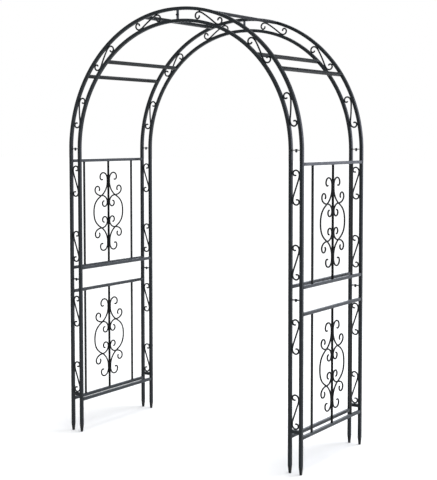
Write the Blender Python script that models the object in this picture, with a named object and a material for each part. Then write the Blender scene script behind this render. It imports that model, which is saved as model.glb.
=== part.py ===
"""Garden trellis arch in powder-coated steel: two ladder frames, side panels and cross bars.

Metres, +Z up, +X across the walkway, front of the arch at -Y. The stake tips stand at z = 0.
"""
import math

import bmesh
import bpy
from mathutils import Matrix, Vector

# ---- driving dimensions (metres) -------------------------------------------------
OUTER_X = 0.693            # centre of the outer leg tubes
LADDER_PITCH = 0.058       # outer tube centre to inner tube centre
FRAME_Y = 0.2953           # centre of the front and back frames
TUBE = 0.016               # side of the square frame tube
WALL = 0.001
SPRING_Z = 1.480           # height of the arch's bending centre
ARCH_JOINT_RISE = 0.006    # the joint between leg and arch is this far above it
JOINT_Z = 0.805            # joint between the lower and upper legs
ARC_CENTRE_X = 0.008       # each quarter bends about this point
STRETCHER_Z = 0.197
RAIL = 0.015               # side of the square rail tube
RAIL_Z = {"bottom": 0.170, "lower_top": 0.739, "upper_bottom": 0.863, "top": 1.423}
BAR_RADIUS = 0.006
SIDE_BAR_Y = 0.196
WIRE_RADIUS = 0.004
LEG_SCROLL_Z = (0.288, 0.635, 0.976, 1.317)
ARCH_SCROLL_DEG = (17.0, 45.5, 74.6)
CROSS_BARS = (("low", 33.5, "outer"), ("mid", 45.5, "inner"), ("high", 73.4, "outer"))
ARC_STEPS = 20
STAKE_TAPER = 0.038
STAKE_TIP = 0.0095         # side of the flat stake tip
STAKE_PLUG = 0.050         # solid length at the foot of each stake
SPIGOT_LENGTH = 0.030      # below a joint, and above the one between the legs
ARCH_SPIGOT_LENGTH = 0.012 # above the spring line, where the tube starts to bend
SPIGOT = 0.0128
SPIGOT_BORE = 0.0108
PLATE = 0.002
PLATE_HALF = 0.0075        # half width of the plates, just inside the tube faces
PLATE_SET = 0.0002         # the plates stand this far back from the tube ends
GAP = 0.0003
BOLT_RADIUS = 0.003
BOLT_HOLE_RADIUS = 0.0033
BITE = 0.0005              # depth a welded end sinks into the wall it joins

ARCH_JOINT_Z = SPRING_Z + ARCH_JOINT_RISE
PLATE_FACE = GAP / 2 + PLATE_SET
INNER_X = OUTER_X - LADDER_PITCH
MID_X = (OUTER_X + INNER_X) / 2
OUTER_R = OUTER_X - ARC_CENTRE_X
INNER_R = INNER_X - ARC_CENTRE_X
MID_R = (OUTER_R + INNER_R) / 2

# ---- scroll shapes: ("line", length) or (turn in degrees, start radius, end radius) ----
LADDER_TILT = 19.4
LADDER_REACH = 0.0170
LEG_SHIFT = -0.0007        # scrolls sit this far towards the inner tube they are welded to
ARCH_SHIFT = -0.0012
LADDER_BEND = 0.060
LADDER_CURL = ((90, 0.0227, 0.0161), (90, 0.0161, 0.0117), (130, 0.0117, 0.0080))
BOW_BULGE = 0.120
BOW_TURNS = ((32.5, 0.1235, 0.0606), (32.5, 0.0606, 0.1589), (-65, 0.1162, 0.0646))
BOW_RUN = 0.016
BOW_CURL = ((-90, 0.038, 0.030), (-90, 0.030, 0.020), (-130, 0.017, 0.010))
CROSSING = (0.0548, 0.088)
OUTER_CURL = ((65, 0.110, 0.020), (140, 0.020, 0.019), (125, 0.019, 0.0085))
INNER_CURL = ((90, 0.062, 0.026), (90, 0.026, 0.020), (90, 0.020, 0.015), (100, 0.015, 0.010))
CHORD_ERROR = 0.0015       # largest gap between a scroll's curve and its straight chords
WIRE_BITE_X = 0.0094       # panel wires run along the centre bar at this distance
SMALL_WIRE_OFFSET = 0.0006 # the small scrolls sit this far proud of the bows

COLOURS = {
    "outer_tube_coat": (0.030, 0.033, 0.037),
    "ladder_coat": (0.030, 0.033, 0.037),
    "rail_coat": (0.034, 0.037, 0.042),
    "cross_bar_coat": (0.034, 0.037, 0.042),
    "scrollwork_coat": (0.024, 0.026, 0.029),
    "bolt_coat": (0.016, 0.017, 0.019),
}


def clear_scene():
    for ob in list(bpy.data.objects):
        bpy.data.objects.remove(ob, do_unlink=True)
    for coll in list(bpy.data.collections):
        bpy.data.collections.remove(coll)


def make_material(name):
    mat = bpy.data.materials.new(name)
    mat.use_nodes = True
    shader = mat.node_tree.nodes["Principled BSDF"]
    shader.inputs["Base Color"].default_value = (*COLOURS[name], 1.0)
    shader.inputs["Metallic"].default_value = 0.2
    shader.inputs["Roughness"].default_value = 0.5
    mat.diffuse_color = (*COLOURS[name], 1.0)
    return mat


def new_object(name, bm, coll):
    bmesh.ops.recalc_face_normals(bm, faces=bm.faces[:])
    mesh = bpy.data.meshes.new(name)
    bm.to_mesh(mesh)
    bm.free()
    ob = bpy.data.objects.new(name, mesh)
    coll.objects.link(ob)
    return ob


def finish(ob, slot):
    ob.data.materials.clear()
    ob.data.materials.append(MATERIALS[slot])
    return ob


# ---- solids ----------------------------------------------------------------------
def square_turned(name, profile, coll):
    """Square solid about +Z from (z, side) pairs: a profile turned in four steps.

    A profile that starts and ends on the axis stays open there; any other closes on itself.
    """
    bm = bmesh.new()
    verts = [bm.verts.new((side / math.sqrt(2), 0.0, z)) for z, side in profile]
    edges = [bm.edges.new(pair) for pair in zip(verts, verts[1:])]
    if profile[0][1] > 0:
        edges.append(bm.edges.new((verts[-1], verts[0])))
    bmesh.ops.spin(bm, geom=verts + edges, cent=(0, 0, 0), axis=(0, 0, 1),
                   angle=2 * math.pi, steps=4, use_merge=True)
    bmesh.ops.remove_doubles(bm, verts=bm.verts[:], dist=1e-6)
    bmesh.ops.rotate(bm, verts=bm.verts[:], cent=(0, 0, 0),
                     matrix=Matrix.Rotation(math.pi / 4, 3, "Z"))
    return new_object(name, bm, coll)


def ring_section(bm, side):
    """Flat square ring in the XY plane, the wall thickness wide, four faces."""
    loops = []
    for size in (side, side - 2 * WALL):
        made = bmesh.ops.create_circle(bm, cap_ends=False, segments=4, radius=size / math.sqrt(2))
        bmesh.ops.rotate(bm, verts=made["verts"], cent=(0, 0, 0),
                         matrix=Matrix.Rotation(math.pi / 4, 3, "Z"))
        loops += list({edge for vert in made["verts"] for edge in vert.link_edges})
    bmesh.ops.bridge_loops(bm, edges=loops)


def extrude_faces(bm, faces, offset):
    made = bmesh.ops.extrude_face_region(bm, geom=faces)["geom"]
    verts = [item for item in made if isinstance(item, bmesh.types.BMVert)]
    bmesh.ops.translate(bm, verts=verts, vec=offset)


def straight_tube(name, side, length, coll):
    """Open square tube along +Z, centred on the origin."""
    bm = bmesh.new()
    ring_section(bm, side)
    bmesh.ops.translate(bm, verts=bm.verts[:], vec=(0, 0, -length / 2))
    extrude_faces(bm, bm.faces[:], (0, 0, length))
    return new_object(name, bm, coll)


def quarter_tube(name, radius, coll):
    """Square tube from the leg joint round to the apex of the right-hand half."""
    bm = bmesh.new()
    ring_section(bm, TUBE)
    bmesh.ops.translate(bm, verts=bm.verts[:], vec=(radius, 0, 0))
    start = math.asin((ARCH_JOINT_RISE + GAP / 2) / radius)
    bmesh.ops.rotate(bm, verts=bm.verts[:], cent=(0, 0, 0), matrix=Matrix.Rotation(-start, 3, "Y"))
    made = bmesh.ops.spin(bm, geom=bm.faces[:], cent=(0, 0, 0), axis=(0, -1, 0),
                          angle=math.pi / 2 - start, steps=ARC_STEPS)["geom_last"]
    last = [item for item in made if isinstance(item, bmesh.types.BMFace)]
    extrude_faces(bm, last, (-ARC_CENTRE_X + GAP / 2, 0, 0))
    bmesh.ops.delete(bm, geom=[face for face in last if face.is_valid], context="FACES")
    return new_object(name, bm, coll)


def box(name, low, high, coll):
    bm = bmesh.new()
    bmesh.ops.create_cube(bm, size=1.0)
    size = [b - a for a, b in zip(low, high)]
    middle = [(a + b) / 2 for a, b in zip(low, high)]
    bmesh.ops.scale(bm, verts=bm.verts[:], vec=size)
    bmesh.ops.translate(bm, verts=bm.verts[:], vec=middle)
    return new_object(name, bm, coll)


def rod(name, radius, start, end, coll, sides=8):
    """Round rod between two points."""
    start = Vector(start)
    end = Vector(end)
    span = end - start
    bm = bmesh.new()
    bmesh.ops.create_cone(bm, cap_ends=True, segments=sides, radius1=radius, radius2=radius,
                          depth=span.length)
    turn = Vector((0, 0, 1)).rotation_difference(span).to_matrix()
    bmesh.ops.rotate(bm, verts=bm.verts[:], cent=(0, 0, 0), matrix=turn)
    bmesh.ops.translate(bm, verts=bm.verts[:], vec=(start + end) / 2)
    return new_object(name, bm, coll)


def wire(name, points, coll):
    """Round wire through the points, capped at both ends."""
    curve = bpy.data.curves.new(name, "CURVE")
    curve.dimensions = "3D"
    curve.bevel_depth = WIRE_RADIUS
    curve.bevel_resolution = 1
    curve.use_fill_caps = True
    spline = curve.splines.new("POLY")
    spline.points.add(len(points) - 1)
    for point, place in zip(spline.points, points):
        point.co = (*place, 1.0)
    source = bpy.data.objects.new(name + "_path", curve)
    coll.objects.link(source)
    depsgraph = bpy.context.evaluated_depsgraph_get()
    mesh = bpy.data.meshes.new_from_object(source.evaluated_get(depsgraph))
    bpy.data.objects.remove(source, do_unlink=True)
    bm = bmesh.new()
    bm.from_mesh(mesh)
    bpy.data.meshes.remove(mesh)
    bmesh.ops.remove_doubles(bm, verts=bm.verts[:], dist=1e-5)
    return new_object(name, bm, coll)


def combine(target, others, operation="UNION"):
    """Exact Boolean of every other object into the target; the others are removed."""
    for other in others:
        mod = target.modifiers.new("join", "BOOLEAN")
        mod.operation = operation
        mod.solver = "EXACT"
        mod.object = other
        depsgraph = bpy.context.evaluated_depsgraph_get()
        mesh = bpy.data.meshes.new_from_object(target.evaluated_get(depsgraph))
        target.modifiers.clear()
        target.data = mesh
        bpy.data.objects.remove(other, do_unlink=True)
    return target


def tidy(ob):
    """Merge coincident points and dissolve edges that carry no shape."""
    bm = bmesh.new()
    bm.from_mesh(ob.data)
    bmesh.ops.remove_doubles(bm, verts=bm.verts[:], dist=1e-6)
    bmesh.ops.dissolve_limit(bm, angle_limit=math.radians(0.05), verts=bm.verts[:],
                             edges=bm.edges[:])
    bmesh.ops.triangulate(bm, faces=bm.faces[:])
    bm.to_mesh(ob.data)
    bm.free()
    return ob


def place_copy(name, source, slot, coll, mirror_x=False, mirror_y=False):
    """Copy of a solid built for the right-hand back quarter, mirrored where asked."""
    mesh = source.data.copy()
    mesh.name = name
    flip = Matrix.Diagonal((-1 if mirror_x else 1, -1 if mirror_y else 1, 1, 1))
    mesh.transform(flip)
    if mirror_x != mirror_y:
        mesh.flip_normals()
    ob = bpy.data.objects.new(name, mesh)
    coll.objects.link(ob)
    return finish(ob, slot)


# ---- scroll paths ----------------------------------------------------------------
def trace(start, heading, steps):
    """Plane path of straight runs and turns whose radius changes by a steady factor."""
    x, z = start
    angle = math.radians(heading)
    points = [(x, z)]
    for step in steps:
        if step[0] == "line":
            x += step[1] * math.cos(angle)
            z += step[1] * math.sin(angle)
            points.append((x, z))
            continue
        turn, first, last = step
        mean = math.sqrt(first * last)
        count = max(1, round(math.radians(abs(turn)) / (2 * math.acos(1 - CHORD_ERROR / mean))))
        fine = 12
        part = math.radians(turn) / (count * fine)
        for index in range(count * fine):
            share = (index + 0.5) / (count * fine)
            radius = first * (last / first) ** share
            angle += part / 2
            x += radius * abs(part) * math.cos(angle)
            z += radius * abs(part) * math.sin(angle)
            angle += part / 2
            if index % fine == fine - 1:
                points.append((x, z))
    return points


def ladder_scroll(shift):
    """S of the ladder frames: across (towards the outer tube), along (towards the apex)."""
    tilt = math.radians(LADDER_TILT)
    stem = (LADDER_REACH - LADDER_BEND * (1 - math.cos(tilt))) / math.sin(tilt)
    half = trace((0, 0), 90 - LADDER_TILT,
                 (("line", stem), (LADDER_TILT, LADDER_BEND, LADDER_BEND), *LADDER_CURL))
    lower = [(-x, -z) for x, z in reversed(half[1:])]
    return [(x + shift, z) for x, z in lower + half[1:]]


def bow_wire():
    """Bow of the panel scrollwork on the +across side, top curl to bottom curl."""
    half = trace((BOW_BULGE, 0), 90, BOW_TURNS)
    shift = half[-1][0] - WIRE_BITE_X
    half = [(x - shift * min(1.0, z / 0.1), z) for x, z in half]
    half += trace(half[-1], 90, (("line", BOW_RUN), *BOW_CURL))[1:]
    return [(x, -z) for x, z in reversed(half[1:])] + half


def small_wire():
    """Small S above the panel's middle on the +across side, outer curl to inner curl."""
    outward = trace(CROSSING, 0, OUTER_CURL)
    inward = trace(CROSSING, 180, INNER_CURL)
    nearest = min(x for x, _ in inward)
    shift = nearest - WIRE_BITE_X
    reach = CROSSING[0] - nearest
    inward = [(x - shift * min(1.0, (CROSSING[0] - x) / reach), z) for x, z in inward]
    return list(reversed(outward[1:])) + inward


# ---- sub-assemblies --------------------------------------------------------------
def leg_scroll_wire(name, z, coll):
    points = [(MID_X + across, 0.0, z + along) for across, along in ladder_scroll(LEG_SHIFT)]
    return wire(name, points, coll)


def arch_scroll_wire(name, degrees, coll):
    points = []
    for across, along in ladder_scroll(ARCH_SHIFT):
        angle = math.radians(degrees) + along / MID_R
        radius = MID_R + across
        points.append((radius * math.cos(angle), 0.0, radius * math.sin(angle)))
    return wire(name, points, coll)


def drilled_plate(low, high, hole_start, hole_end, coll):
    """Bolting plate between two corners, with the bolt hole drilled from point to point."""
    plate = box("plate", low, high, coll)
    hole = rod("hole", BOLT_HOLE_RADIUS, hole_start, hole_end, coll)
    return combine(plate, [hole], "DIFFERENCE")


def ladder_plate(inner, outer, low_z, coll):
    """Level plate between ladder tubes whose middles are at two distances.

    It is welded to the inner tube, stays clear of the outer one, and is drilled midway.
    """
    half = TUBE / 2
    middle = (inner + outer) / 2
    return drilled_plate((inner + half - BITE, -PLATE_HALF, low_z),
                         (outer - half - GAP, PLATE_HALF, low_z + PLATE),
                         (middle, 0, low_z - PLATE), (middle, 0, low_z + 2 * PLATE), coll)


def lower_post(name, coll):
    """Stake, tube and spigot as one square-turned profile, from the plug to the tip."""
    top = JOINT_Z - GAP / 2
    bore = TUBE - 2 * WALL
    profile = [
        (STAKE_PLUG, 0.0), (STAKE_PLUG, bore), (JOINT_Z - SPIGOT_LENGTH, bore),
        (JOINT_Z - SPIGOT_LENGTH, SPIGOT_BORE), (JOINT_Z + SPIGOT_LENGTH, SPIGOT_BORE),
        (JOINT_Z + SPIGOT_LENGTH, SPIGOT), (top, SPIGOT), (top, TUBE), (STAKE_TAPER, TUBE),
        (0.0, STAKE_TIP), (0.0, 0.0),
    ]
    return square_turned(name, profile, coll)


def upper_post(name, coll):
    """Tube between the joints with the spigot for the arch in its top end."""
    low = JOINT_Z + GAP / 2
    top = ARCH_JOINT_Z - GAP / 2
    bore = TUBE - 2 * WALL
    spigot_top = ARCH_JOINT_Z + ARCH_SPIGOT_LENGTH
    spigot_foot = ARCH_JOINT_Z - SPIGOT_LENGTH
    profile = [
        (spigot_top, SPIGOT_BORE), (spigot_top, SPIGOT), (top, SPIGOT), (top, TUBE),
        (low, TUBE), (low, bore), (spigot_foot, bore), (spigot_foot, SPIGOT_BORE),
    ]
    return square_turned(name, profile, coll)


def shift_x(ob, distance):
    ob.data.transform(Matrix.Translation((distance, 0, 0)))
    return ob


def build_posts(cutters):
    """Sources for the four post kinds, each on the right-hand side at y = 0."""
    half = TUBE / 2
    lower_outer = shift_x(lower_post("src_lower_outer", cutters), OUTER_X)
    upper_outer = shift_x(upper_post("src_upper_outer", cutters), OUTER_X)
    lower_inner = shift_x(lower_post("src_lower_inner", cutters), INNER_X)
    upper_inner = shift_x(upper_post("src_upper_inner", cutters), INNER_X)
    stretcher = box("stretcher", (INNER_X + half - BITE, -half, STRETCHER_Z - half),
                    (OUTER_X - half - GAP, half, STRETCHER_Z + half), cutters)
    plate = ladder_plate(INNER_X, OUTER_X, JOINT_Z - PLATE_FACE - PLATE, cutters)
    scrolls = [leg_scroll_wire("scroll", z, cutters) for z in LEG_SCROLL_Z[:2]]
    combine(lower_inner, [stretcher, plate, *scrolls])
    plates = [ladder_plate(INNER_X, OUTER_X, low, cutters)
              for low in (JOINT_Z + PLATE_FACE, ARCH_JOINT_Z - PLATE_FACE - PLATE)]
    scrolls = [leg_scroll_wire("scroll", z, cutters) for z in LEG_SCROLL_Z[2:]]
    combine(upper_inner, plates + scrolls)
    return lower_outer, upper_outer, tidy(lower_inner), tidy(upper_inner)


def build_arch(cutters):
    """Outer quarter tube and the inner quarter with its scrolls and end plates."""
    half = TUBE / 2
    outer = quarter_tube("src_arch_outer", OUTER_R, cutters)
    inner = quarter_tube("src_arch_inner", INNER_R, cutters)
    spring = ladder_plate(INNER_R, OUTER_R, ARCH_JOINT_RISE + PLATE_FACE, cutters)
    low = -ARC_CENTRE_X + PLATE_FACE
    apex = drilled_plate((low, -PLATE_HALF, INNER_R + half - BITE),
                         (low + PLATE, PLATE_HALF, OUTER_R - half - GAP),
                         (low - PLATE, 0, MID_R), (low + 2 * PLATE, 0, MID_R), cutters)
    scrolls = [arch_scroll_wire("scroll", angle, cutters) for angle in ARCH_SCROLL_DEG]
    combine(inner, [spring, apex, *scrolls])
    tidy(inner)
    for ob in (outer, inner):
        ob.data.transform(Matrix.Translation((ARC_CENTRE_X, 0, SPRING_Z)))
    return outer, inner


def build_bolt(cutters):
    """Dome-headed bolt with its nut, along +Z, clamping two plates about z = 0."""
    face = PLATE + PLATE_FACE + GAP
    shank = rod("shank", BOLT_RADIUS, (0, 0, -face - 0.008), (0, 0, face + 0.001), cutters)
    bm = bmesh.new()
    verts = [bm.verts.new(co) for co in ((0, 0, 0.0036), (0.0040, 0, 0.0030), (0.0064, 0, 0.0010),
                                         (0.0064, 0, 0), (0, 0, 0))]
    edges = [bm.edges.new(pair) for pair in zip(verts, verts[1:])]
    bmesh.ops.spin(bm, geom=verts + edges, cent=(0, 0, 0), axis=(0, 0, 1),
                   angle=2 * math.pi, steps=10, use_merge=True)
    bmesh.ops.remove_doubles(bm, verts=bm.verts[:], dist=1e-6)
    bmesh.ops.translate(bm, verts=bm.verts[:], vec=(0, 0, face))
    head = new_object("head", bm, cutters)
    nut = rod("nut", 0.005 / math.cos(math.pi / 6), (0, 0, -face - 0.005), (0, 0, -face),
              cutters, sides=6)
    return tidy(combine(shank, [head, nut]))


def build_panel_centre(bottom, top, cutters):
    """Centre bar between two rails with its six wires, in the YZ plane at x = 0."""
    low = bottom + RAIL / 2 + GAP
    high = top - RAIL / 2 - GAP
    middle = (low + high) / 2
    bar = rod("bar", BAR_RADIUS, (0, 0, low), (0, 0, high), cutters, sides=10)
    wires = []
    for side in (1, -1):
        points = [(0, side * across, middle + along) for across, along in bow_wire()]
        wires.append(wire("bow", points, cutters))
        for way in (1, -1):
            points = [(SMALL_WIRE_OFFSET, side * across, middle + way * along)
                      for across, along in small_wire()]
            wires.append(wire("small", points, cutters))
    return tidy(combine(bar, wires))


def rail_tube(cutters):
    """Open tube along Y that fills the space between the front and back frames."""
    length = 2 * (FRAME_Y - TUBE / 2 - GAP)
    tube = straight_tube("rail", RAIL, length, cutters)
    tube.data.transform(Matrix.Rotation(math.pi / 2, 4, "X"))
    return tube


def build_rail(rail_z, cutters):
    """Plain rail at a height, at x = 0."""
    rail = rail_tube(cutters)
    rail.data.transform(Matrix.Translation((0, 0, rail_z)))
    return rail


def build_rail_with_bars(rail_z, top, cutters):
    """Bottom rail carrying the two side bars of its panel, at x = 0."""
    rail = build_rail(rail_z, cutters)
    bars = [rod("bar", BAR_RADIUS, (0, y, rail_z + RAIL / 2 - BITE),
                (0, y, top - RAIL / 2 - GAP), cutters, sides=10)
            for y in (-SIDE_BAR_Y, SIDE_BAR_Y)]
    return tidy(combine(rail, bars))


def add_frames(parts, cutters):
    """Posts and arch quarters of both frames, both sides."""
    lower_outer, upper_outer, lower_inner, upper_inner = build_posts(cutters)
    arch_outer, arch_inner = build_arch(cutters)
    kinds = (
        ("lower_post_outer", lower_outer, "outer_tube_coat"),
        ("upper_post_outer", upper_outer, "outer_tube_coat"),
        ("lower_post_inner", lower_inner, "ladder_coat"),
        ("upper_post_inner", upper_inner, "ladder_coat"),
        ("arch_quarter_outer", arch_outer, "outer_tube_coat"),
        ("arch_quarter_inner", arch_inner, "ladder_coat"),
    )
    for kind, source, slot in kinds:
        for y_name, y_way in (("front", -1), ("back", 1)):
            for x_name, x_way in (("left", -1), ("right", 1)):
                ob = place_copy(f"{kind}_{y_name}_{x_name}", source, slot, parts, x_way < 0)
                ob.data.transform(Matrix.Translation((0, y_way * FRAME_Y, 0)))


def add_panels(parts, cutters):
    """Rails, bars and scrollwork of the four side panels."""
    bottom, lower_top = RAIL_Z["bottom"], RAIL_Z["lower_top"]
    upper_bottom, top = RAIL_Z["upper_bottom"], RAIL_Z["top"]
    rail, scroll = "rail_coat", "scrollwork_coat"
    pieces = (
        ("rail_bottom", build_rail_with_bars(bottom, lower_top, cutters), OUTER_X, rail),
        ("rail_lower_top", build_rail(lower_top, cutters), OUTER_X, rail),
        ("rail_upper_bottom", build_rail_with_bars(upper_bottom, top, cutters), OUTER_X, rail),
        ("rail_top", build_rail(top, cutters), OUTER_X, rail),
        ("rail_bottom_inner", build_rail(bottom, cutters), INNER_X, rail),
        ("rail_middle_inner", build_rail(upper_bottom, cutters), INNER_X, rail),
        ("scrollwork_lower", build_panel_centre(bottom, lower_top, cutters), OUTER_X, scroll),
        ("scrollwork_upper", build_panel_centre(upper_bottom, top, cutters), OUTER_X, scroll),
    )
    for kind, source, x, slot in pieces:
        shift_x(source, x)
        place_copy(f"{kind}_left", source, slot, parts, mirror_x=True)
        place_copy(f"{kind}_right", source, slot, parts)


def add_cross_bars(parts, cutters):
    """Six bars joining the front and back arches."""
    for level, degrees, ring in CROSS_BARS:
        radius = OUTER_R if ring == "outer" else INNER_R
        angle = math.radians(degrees)
        bar = rail_tube(cutters)
        bar.data.transform(Matrix.Rotation(-angle, 4, "Y"))
        bar.data.transform(Matrix.Translation((ARC_CENTRE_X + radius * math.cos(angle), 0,
                                               SPRING_Z + radius * math.sin(angle))))
        place_copy(f"cross_bar_{level}_left", bar, "cross_bar_coat", parts, mirror_x=True)
        place_copy(f"cross_bar_{level}_right", bar, "cross_bar_coat", parts)


def add_bolts(parts, cutters):
    """One bolt and nut through each pair of joint plates."""
    bolt = build_bolt(cutters)
    for level, z in (("lower", JOINT_Z), ("spring", ARCH_JOINT_Z)):
        for y_name, y in (("front", -FRAME_Y), ("back", FRAME_Y)):
            for x_name, x in (("left", -MID_X), ("right", MID_X)):
                ob = place_copy(f"bolt_{level}_{y_name}_{x_name}", bolt, "bolt_coat", parts)
                ob.data.transform(Matrix.Translation((x, y, z)))
    for y_name, y in (("front", -FRAME_Y), ("back", FRAME_Y)):
        ob = place_copy(f"bolt_apex_{y_name}", bolt, "bolt_coat", parts)
        ob.data.transform(Matrix.Translation((0, y, SPRING_Z + MID_R))
                          @ Matrix.Rotation(math.pi / 2, 4, "Y"))


def shade(parts):
    """Smooth round surfaces, keep corners over 35 degrees sharp."""
    for ob in parts.objects:
        mesh = ob.data
        mesh.shade_smooth()
        mesh.set_sharp_from_angle(angle=math.radians(35))


clear_scene()
scene_root = bpy.context.scene.collection
parts_coll = bpy.data.collections.new("trellis_arch")
scene_root.children.link(parts_coll)
cutter_coll = bpy.data.collections.new("sources")
scene_root.children.link(cutter_coll)
MATERIALS = {name: make_material(name) for name in COLOURS}
add_frames(parts_coll, cutter_coll)
add_panels(parts_coll, cutter_coll)
add_cross_bars(parts_coll, cutter_coll)
add_bolts(parts_coll, cutter_coll)
for leftover in list(cutter_coll.objects):
    bpy.data.objects.remove(leftover, do_unlink=True)
bpy.data.collections.remove(cutter_coll)
shade(parts_coll)
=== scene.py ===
"""Garden trellis arch: finished surfaces, coatings, light and camera around the CAD frame.

Metres, +Z up, +X across the walkway, the front of the arch at -Y. Every piece is a closed skin
worked out with numpy and stands for the CAD node of the same name.
"""
import logging
import math
from collections.abc import Callable, Iterator, Sequence
from dataclasses import dataclass, field, replace
from enum import Enum

import bpy
import numpy as np
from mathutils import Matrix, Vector

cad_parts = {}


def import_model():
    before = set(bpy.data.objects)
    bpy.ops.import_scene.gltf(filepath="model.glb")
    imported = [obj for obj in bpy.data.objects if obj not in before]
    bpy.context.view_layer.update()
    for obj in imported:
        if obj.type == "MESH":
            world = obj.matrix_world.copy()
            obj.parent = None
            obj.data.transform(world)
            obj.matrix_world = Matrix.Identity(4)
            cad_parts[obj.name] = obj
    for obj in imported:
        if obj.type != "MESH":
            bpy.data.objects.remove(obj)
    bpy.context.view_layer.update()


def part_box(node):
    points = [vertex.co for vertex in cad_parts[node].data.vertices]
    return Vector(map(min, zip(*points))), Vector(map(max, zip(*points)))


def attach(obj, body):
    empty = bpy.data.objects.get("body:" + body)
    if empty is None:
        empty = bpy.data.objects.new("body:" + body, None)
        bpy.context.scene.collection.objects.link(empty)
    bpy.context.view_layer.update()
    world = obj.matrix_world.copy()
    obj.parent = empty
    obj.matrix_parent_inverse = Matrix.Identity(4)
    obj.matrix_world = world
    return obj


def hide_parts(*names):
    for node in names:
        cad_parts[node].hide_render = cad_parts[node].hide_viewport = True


LOG = logging.getLogger("trellis_arch")
MM = 0.001
SHARP_ANGLE = 38.0
X_AXIS, Y_AXIS, Z_AXIS = np.eye(3)


class Side(Enum):
    """Side of the walkway, with the sign of its X."""

    LEFT = -1
    RIGHT = 1


class End(Enum):
    """Frame of the arch, with the sign of its Y."""

    FRONT = -1
    BACK = 1


class Slot(Enum):
    """Material slots of the record."""

    OUTER_TUBE = "outer_tube_coat"
    LADDER = "ladder_coat"
    RAIL = "rail_coat"
    CROSS_BAR = "cross_bar_coat"
    SCROLLWORK = "scrollwork_coat"
    BOLT = "bolt_coat"


# ---- surfaces --------------------------------------------------------------------


def full_turn(count: int) -> np.ndarray:
    """Angles of even steps round a circle."""
    return np.arange(count) * 2 * np.pi / count


def rays(turn: np.ndarray) -> np.ndarray:
    """Unit vectors at angles, as pairs of cosine and sine."""
    return np.stack((np.cos(turn), np.sin(turn)), -1)


@dataclass
class Skin:
    """Closed surface as arrays, with how exposed each corner is and how thick its film."""

    points: np.ndarray
    quads: np.ndarray
    fans: np.ndarray
    wear: np.ndarray
    film: np.ndarray

    @classmethod
    def over(cls, sections: np.ndarray, wear: np.ndarray | float = 0.0, film: float = 0.0,
             looped: bool = False) -> "Skin":
        """Lays a skin over a row of closed sections.

        Corner (r, c) is point c of section r, and each quad joins two neighbouring sections.
        An open row is closed at both ends by a fan to the section's middle.

        Args:
            sections: Array of sections by points by 3.
            wear: How exposed each corner is, from 0 to 1.
            film: 1 where the coat is thick and dark, as on weld metal.
            looped: Whether the last section joins the first.

        Returns:
            The skin, facing outwards.
        """
        rings, columns, _ = sections.shape
        points = sections.reshape(-1, 3)
        exposed = np.broadcast_to(wear, (rings, columns)).reshape(-1)
        ring = np.arange(rings if looped else rings - 1)[:, None]
        column = np.arange(columns)[None, :]
        after = (column + 1) % columns
        above = (ring + 1) % rings
        quads = np.stack((ring * columns + column, ring * columns + after,
                          above * columns + after, above * columns + column), -1).reshape(-1, 4)
        fans = np.empty((0, 3), dtype=int)
        if not looped:
            first = column[0]
            last = (rings - 1) * columns
            middle = len(points)
            fans = np.concatenate((
                np.stack((np.full(columns, middle), after[0], first), -1),
                np.stack((np.full(columns, middle + 1), last + first, last + after[0]), -1)))
            points = np.concatenate((points, sections[[0, -1]].mean(axis=1)))
            exposed = np.append(exposed, (exposed[0], exposed[-1]))
        return cls(points, quads, fans, exposed, np.full(len(points), film)).outward()

    @classmethod
    def spun(cls, radius: np.ndarray, height: np.ndarray, wear: np.ndarray,
             columns: int) -> "Skin":
        """Turned skin: corner = radius * (cos t, sin t), with the height of its ring.

        Args:
            radius: Radii by ring, or by ring and column.
            height: Heights by ring.
            wear: How exposed each ring is.
            columns: Corners in a ring.

        Returns:
            The closed skin.
        """
        flat = radius.reshape(len(height), -1)[..., None] * rays(full_turn(columns))
        tall = np.broadcast_to(height[:, None, None], (*flat.shape[:2], 1))
        return cls.over(np.concatenate((flat, tall), axis=-1), wear[:, None])

    @classmethod
    def joined(cls, skins: Sequence["Skin"]) -> "Skin":
        """Puts several skins into one, without welding their corners.

        Args:
            skins: The skins, in order.

        Returns:
            The joined skin.
        """
        counts = np.cumsum([0] + [len(skin.points) for skin in skins[:-1]])
        return cls(np.concatenate([skin.points for skin in skins]),
                   np.concatenate([skin.quads + n for skin, n in zip(skins, counts)]),
                   np.concatenate([skin.fans + n for skin, n in zip(skins, counts)]),
                   np.concatenate([skin.wear for skin in skins]),
                   np.concatenate([skin.film for skin in skins]))

    def outward(self) -> "Skin":
        """Turns the faces outwards, by the sign of the volume that they enclose.

        Returns:
            The same skin.
        """
        local = self.points - self.points.mean(axis=0)
        triangles = np.concatenate((self.quads[:, :3], self.quads[:, [0, 2, 3]], self.fans))
        a, b, c = np.moveaxis(local[triangles], 1, 0)
        if np.einsum("ij,ij->", a, np.cross(b, c)) < 0:
            self.quads = self.quads[:, ::-1]
            self.fans = self.fans[:, ::-1]
        return self

    def shaped(self, change: Callable[[np.ndarray], np.ndarray]) -> "Skin":
        """A copy whose corners are passed through a function of their places."""
        return Skin(change(self.points), self.quads, self.fans, self.wear, self.film)

    def moved(self, x: float = 0.0, y: float = 0.0, z: float = 0.0) -> "Skin":
        """A copy moved by a distance."""
        return self.shaped(lambda points: points + (x, y, z))

    def mirrored(self, side: Side, end: End = End.BACK) -> "Skin":
        """A copy for a side and a frame, from a skin made for the right-hand back quarter.

        Args:
            side: LEFT changes the sign of X.
            end: FRONT changes the sign of Y.

        Returns:
            The copy, facing outwards.
        """
        copy = self.shaped(lambda points: points * (side.value, end.value, 1))
        if side.value * end.value < 0:
            copy.quads = copy.quads[:, ::-1]
            copy.fans = copy.fans[:, ::-1]
        return copy

    def thickly_coated(self) -> "Skin":
        """The same skin with a thick, dark film all over."""
        return replace(self, film=np.ones_like(self.film))


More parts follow.
